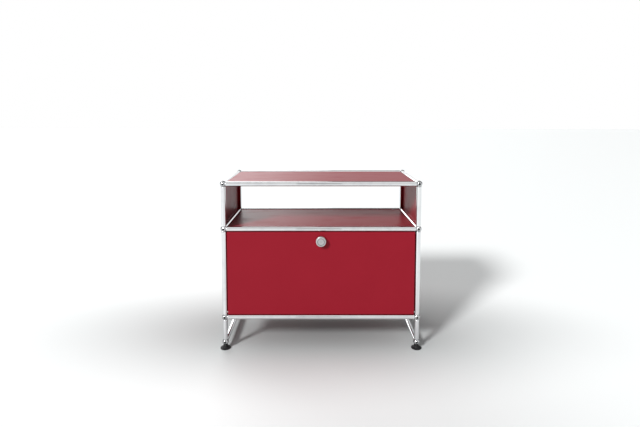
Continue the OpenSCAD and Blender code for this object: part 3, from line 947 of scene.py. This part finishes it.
@dataclass
class Knob:
    """The turn knob with its key plug."""

    finish: bpy.types.Material
    facing: Vec = (0, -1, 0)
    out: float = 0.020
    base_gap: float = 0.0013
    neck_t: float = 0.004
    neck_inset: float = 0.0025
    crown: float = 0.003
    shaft_r: float = 0.006
    lip_ease: float = 0.0008
    groove_share: float = 0.66
    groove_w: float = 0.0012
    groove_d: float = 0.0008
    square_half: float = 0.0035
    square_in: float = 0.0005
    plug_r: float = 0.0055
    plug_gap: float = 0.00005
    plug_sunk: float = 0.0003
    plug_long: float = 0.0137
    plug_end_gap: float = 0.0001
    plug_ease: float = 0.0004
    well_mouth: float = 0.0005
    slot_long: float = 0.0075
    slot_wide: float = 0.0017
    slot_deep: float = 0.003
    slot_mouth: float = 0.0002
    tail_out: float = 0.0004

    def build(self) -> None:
        """Builds the knob and the plug on the axis of the CAD knob."""
        low, high = box_of("knob")
        radius = (high[0] - low[0]) / 2
        centre = np.array([(low[0] + high[0]) / 2, low[1] + self.out, (low[2] + high[2]) / 2])
        tail = box_of("lock_bush")[1][1] + self.tail_out - centre[1]
        surface = Surface().add(placed(revolved(self.profile(radius, tail), 96), centre, self.facing))
        self.square_end(surface, centre, tail, high[1] - centre[1])
        made = surface.piece("knob_finished", Body.KNOB.value, Slot.SATIN, "knob")
        made.data.materials.append(self.finish)
        plug = Surface().add(placed(self.plug(), centre, self.facing))
        made = plug.piece("key_plug_finished", Body.KEY_PLUG.value, Slot.SATIN, "key_plug")
        made.data.materials.append(self.finish)
        LOG.info("knob: %.0f mm across", radius * 2000)

    def profile(self, radius: float, tail: float) -> Array:
        """Radius and height from the shaft's end, over the neck and crown, into the plug's well.

        Args:
            radius: of the knob.
            tail: how far the shaft reaches inside the door.

        Returns:
            n by 2 array.
        """
        neck_top = self.base_gap + self.neck_t
        side = np.array([radius - self.crown, self.out - self.crown]) + arc(self.crown, 0, 90, 10)
        ease = self.lip_ease
        lip = np.array([radius - ease, neck_top + ease]) + arc(ease, -90, 0, 5)
        half = self.groove_w / 2
        valley = np.array([radius * self.groove_share + half, self.out]) + arc(half, 0, -180, 9) * (1, 1.3)
        valley[:, 1] = np.maximum(valley[:, 1], self.out - self.groove_d)
        well = self.plug_r + self.plug_gap
        well_floor = self.out - self.plug_long - self.plug_end_gap
        return np.array(
            [
                (0, -tail),
                (self.shaft_r, -tail),
                (self.shaft_r, self.base_gap),
                (radius - self.neck_inset, self.base_gap),
                (radius - self.neck_inset, neck_top),
                *lip,
                *side,
                *valley,
                (well + self.well_mouth, self.out),
                (well, self.out - self.well_mouth),
                (well, well_floor),
                (0, well_floor),
            ]
        )

    def square_end(self, surface: Surface, centre: Array, tail: float, reach: float) -> None:
        """Adds the square stub that carries the cam tongue.

        Args:
            surface: of the knob.
            centre: point of the knob's axis on the door's face.
            tail: where the stub starts, inside the door.
            reach: where it ends.
        """
        half, start = self.square_half, self.square_in - tail
        square = np.array([(half, half), (-half, half), (-half, -half), (half, -half)])
        heights = np.array([start, start, -reach, -reach])
        scale = np.array([0, 1, 1, 0])
        rows = square[None] * scale[:, None, None]
        grid = np.concatenate([rows, np.broadcast_to(heights[:, None, None], (4, 4, 1))], axis=2)
        surface.add(placed(grid, centre, self.facing))

    def plug(self) -> Array:
        """The key plug: a disc whose face opens into a key slot with round ends.

        The slot's outline is a circle moved outwards along its long side, and each row goes
        from that outline to the plug's rim as a weighted mean.

        Returns:
            Grid of points facing +Z.
        """
        t = np.linspace(0, 2 * math.pi, 64, endpoint=False)
        spin = np.stack([np.cos(t), np.sin(t)], axis=1)
        shift = (self.slot_long - self.slot_wide) / 2
        slot = spin * self.slot_wide / 2 + np.stack([np.sign(np.cos(t)) * shift, 0 * t], axis=1)
        top, end = self.out - self.plug_sunk, self.out - self.plug_long
        rim = spin * (self.plug_r - self.plug_ease)
        rows = [
            (slot * 0, top - self.slot_deep),
            (slot * 0.98, top - self.slot_deep),
            (slot, top - self.slot_mouth),
            (slot * 1.06, top),
            (slot * 0.5 + rim * 0.5, top),
            (rim, top),
            (spin * self.plug_r, top - self.plug_ease),
            (spin * self.plug_r, end),
            (spin * 0, end),
        ]
        return np.stack([np.concatenate([xy, np.full((len(t), 1), z)], axis=1) for xy, z in rows])


# ---------------------------------------------------------------------------
# Feet
# ---------------------------------------------------------------------------


@dataclass
class Feet:
    """The four adjustable feet."""

    finish: bpy.types.Material
    rim_t: float = 0.003
    cone_top: float = 0.0105
    neck_r: float = 0.009
    rim_step: float = 0.0015
    socket_r: float = 0.00345
    ease: float = 0.0008

    def build(self) -> None:
        """Builds each pad in place of its node, as a surface of revolution."""
        for end in ("front", "back"):
            for side in ("left", "right"):
                name = f"{end}_{side}"
                low, high = box_of(f"foot_pad_{name}")
                profile = self.profile((high[0] - low[0]) / 2, high[2] - low[2])
                centre = ((low[0] + high[0]) / 2, (low[1] + high[1]) / 2, low[2])
                surface = Surface().add(placed(revolved(profile, 72), centre, (0, 0, 1)))
                node = f"foot_pad_{name}"
                made = surface.piece(f"{node}_finished", f"foot_{name}", Slot.PLASTIC, node)
                made.data.materials.append(self.finish)
                LOG.info("%s: %.0f mm across", node, (high[0] - low[0]) * 1000)

    def profile(self, radius: float, height: float) -> Array:
        """Radius and height: rim with eased edges, a hollow flank up to the neck, a socket.

        The flank is a quarter ellipse that falls from the neck and flattens towards the rim.

        Args:
            radius: of the rim.
            height: of the pad.

        Returns:
            n by 2 array.
        """
        e = self.ease
        low_edge = np.array([radius - e, e]) + arc(e, -90, 0, 5)
        high_edge = np.array([radius - e, self.rim_t - e]) + arc(e, 0, 90, 5)
        foot_r = radius - self.rim_step
        span = np.array([foot_r - self.neck_r, self.cone_top - self.rim_t])
        flank = np.array([foot_r, self.cone_top]) - arc(1, 90, 0, 12) * span
        crown = np.array([self.neck_r - e, height - e]) + arc(e, 0, 90, 5)
        return np.array(
            [
                (0, 0),
                *low_edge,
                *high_edge,
                *flank,
                *crown,
                (self.socket_r, height),
                (self.socket_r, self.rim_t),
                (0, self.rim_t),
            ]
        )


# ---------------------------------------------------------------------------
# Fittings that keep their CAD shape
# ---------------------------------------------------------------------------


@dataclass
class Fittings:
    """Inner fittings whose CAD shape is right and which only need a finish."""

    zinc: bpy.types.Material
    rubber: bpy.types.Material
    paint: bpy.types.Material

    def build(self) -> None:
        """Gives each CAD node that is still shown its finish."""
        choice = {Slot.ZINC.value: self.zinc, Slot.RUBBER.value: self.rubber, Slot.RED.value: self.paint}
        for row in frame["record"]["subparts"]:
            material = choice.get(row["material_slot"])
            if material is None:
                continue
            for holder in frame["nodes"][row["node"]].material_slots:
                holder.material = material
            LOG.info("%s: %s", row["node"], material.name)


# ---------------------------------------------------------------------------
# Studio
# ---------------------------------------------------------------------------


@dataclass(frozen=True)
class Lamp:
    """A far lamp: its name, where it stands, how wide it looks in degrees, and its power."""

    name: str
    away: Vec
    spread: float
    power: float


@dataclass
class Studio:
    """Pale floor, soft lights and the camera."""

    lens: float = 25.263
    eye: Vec = (-0.0084, -1.8711, 0.9087)
    pitch: float = 4.477
    shift: Vec = (0.00183, -0.097)
    lamps: tuple[Lamp, ...] = (
        Lamp("key_light", (-0.55, -0.66, 0.504), 11.0, 3.65),
        Lamp("back_light", (-0.38, 0.80, 0.47), 48.0, 1.25),
    )
    fill: float = 0.13
    overhead: float = 0.45
    front_gloss: float = 0.72
    flag_gloss: float = 0.10
    flag_from: float = 0.18
    flag_to: float = 0.88
    flag_soft: tuple[float, float] = (0.2, 0.1)
    card_at: Vec = (0, -5.0, 1.6)
    card_size: tuple[float, float] = (0.66, 3.2)
    card_dark: Vec = (0.34, 0.34, 0.34)
    card_light: Vec = (0.40, 0.40, 0.40)
    floor_size: float = 60
    # painted shade on the floor round the cabinet, tinted slightly cyan against the red bounce light
    floor_shade: Vec = (0.225, 0.24, 0.24)
    floor_far: Vec = (0.90, 0.92, 0.92)
    floor_fade: float = 0.26
    floor_soft: float = 0.66

    def build(self) -> None:
        """Builds floor, dark card, world, lamps and camera."""
        self.floor()
        self.card()
        self.world()
        self.light()
        self.camera()
        bpy.context.scene.view_settings.view_transform = "Standard"

    def sheet(self, name: str, centre: Vec, facing: Vec, wide: float, high: float) -> bpy.types.Object:
        """A flat stage rectangle.

        Args:
            name: of the object.
            centre: of the rectangle.
            facing: the way it looks.
            wide: full width.
            high: full height.

        Returns:
            The object.
        """
        x, y = wide / 2, high / 2
        flat = np.array([(-x, -y, 0), (x, -y, 0), (x, y, 0), (-x, y, 0)])
        mesh = bpy.data.meshes.new(name)
        mesh.from_pydata(placed(flat, centre, facing).tolist(), [], [(0, 1, 2, 3)])
        obj = bpy.data.objects.new(name, mesh)
        bpy.context.collection.objects.link(obj)
        return obj

    def floor(self) -> None:
        """A wide pale floor with painted shade round the origin, tinted slightly cyan against the red
        light that the panels bounce: near + (far - near) * smooth step of distance.
        """
        obj = self.sheet("studio_floor", (0, 0, 0), (0, 0, 1), self.floor_size, self.floor_size)
        g = Graph.finish("pale_floor", Roughness=0.6, IOR=1.2)
        flat = g.vector("MULTIPLY", g.place(), (0.4, 1.0, 0.0))
        away = g.vector("LENGTH", flat, output=1) + g.noise(3.0, 2.0) * 0.02
        # painted shade: the floor is darkest round the origin and fades to floor_far
        far = away.above(self.floor_fade, self.floor_soft)
        obj.data.materials.append(g.dress(Base_Color=g.blend(far, self.floor_shade, self.floor_far)))

    def card(self) -> None:
        """A dark card behind the camera, which shows only in reflections."""
        obj = self.sheet("dark_card", self.card_at, (0, 1, 0), *self.card_size)
        g = Graph.finish("dark_card", Roughness=0.9)
        colour = g.blend(g.noise(2.0, 1.0), self.card_dark, self.card_light)
        obj.data.materials.append(g.dress(Base_Color=colour))
        obj.visible_camera = False
        obj.visible_shadow = False
        obj.visible_diffuse = False

    def world(self) -> None:
        """A white surrounding that lights the scene with less than it shows.

        As a fill it is brighter overhead: fill + overhead * height squared. Reflections show it
        white, a little dimmer towards the front, with a dark band between the sides and the back.
        """
        world = bpy.data.worlds.new("studio_world")
        bpy.context.scene.world = world
        g = Graph(world, "Background", Color=(1.0, 1.0, 1.0, 1.0))
        axes = g.node("ShaderNodeSeparateXYZ", {}, {"Vector": g.spot("Generated")})
        depth, height = (Signal(g, axes.outputs[k]) for k in ("Y", "Z"))
        kind = g.node("ShaderNodeLightPath", {}, {}).outputs
        seen, scattered, mirrored = (
            Signal(g, kind[f"Is {k} Ray"]) for k in ("Camera", "Diffuse", "Glossy")
        )
        front = (0.0 - depth).math("MAXIMUM", 0.0)
        sides, back = self.flag_soft
        flag = depth.above(self.flag_from, sides) * (1.0 - depth.above(self.flag_to, back))
        gloss = 1.0 - front * front * (1 - self.front_gloss) - flag * (1 - self.flag_gloss)
        over = height.math("MAXIMUM", 0.0)
        light = over * over * self.overhead + self.fill
        g.dress(Strength=seen + scattered * light + mirrored * gloss)

    def light(self) -> None:
        """The lamps, a soft key from the front left and a broad one from behind."""
        for lamp in self.lamps:
            data = bpy.data.lights.new(lamp.name, "SUN")
            data.angle = math.radians(lamp.spread)
            data.energy = lamp.power
            obj = bpy.data.objects.new(lamp.name, data)
            bpy.context.collection.objects.link(obj)
            obj.location = Vector(lamp.away) * 3
            obj.rotation_euler = Vector(lamp.away).to_track_quat("Z", "Y").to_euler()

    def camera(self) -> None:
        """The camera, tipped down a little, with the shift that frames the cabinet."""
        data = bpy.data.cameras.new("camera")
        data.lens = self.lens
        data.sensor_width = 36.0
        data.shift_x, data.shift_y = self.shift
        obj = bpy.data.objects.new("camera", data)
        bpy.context.collection.objects.link(obj)
        obj.location = self.eye
        obj.rotation_euler = (math.radians(90 - self.pitch), 0, 0)
        bpy.context.scene.camera = obj


def main() -> None:
    """Builds the sub-assemblies in order."""
    logging.basicConfig(level=logging.INFO, format="%(name)s %(message)s", stream=sys.stdout)
    lattice = Lattice.read()
    chrome = ChromePlate().material()
    paint = PowderCoat().material()
    knob_low, knob_high = box_of("knob")
    groove = (knob_high[0] - knob_low[0]) / 2 * Knob.groove_share
    satin = TurnedSatin(centre=tuple((knob_low + knob_high) / 2), groove_r=groove).material()
    # painted shade: the balls get a darker copy of the chrome, standing in for the darker reflections that
    # they show
    shaded_ball_chrome = ChromePlate(bright=(0.56, 0.57, 0.58), dull=(0.38, 0.39, 0.40))
    TubeFrame(lattice, chrome, shaded_ball_chrome.material(tapped=True)).build()
    Panels(paint).build()
    Door(paint, satin).build()
    Knob(satin).build()
    Feet(MouldedPlastic().material()).build()
    Fittings(ZincPlate().material(), BufferRubber().material(), paint).build()
    Studio().build()


if __name__ == "__main__":
    main()
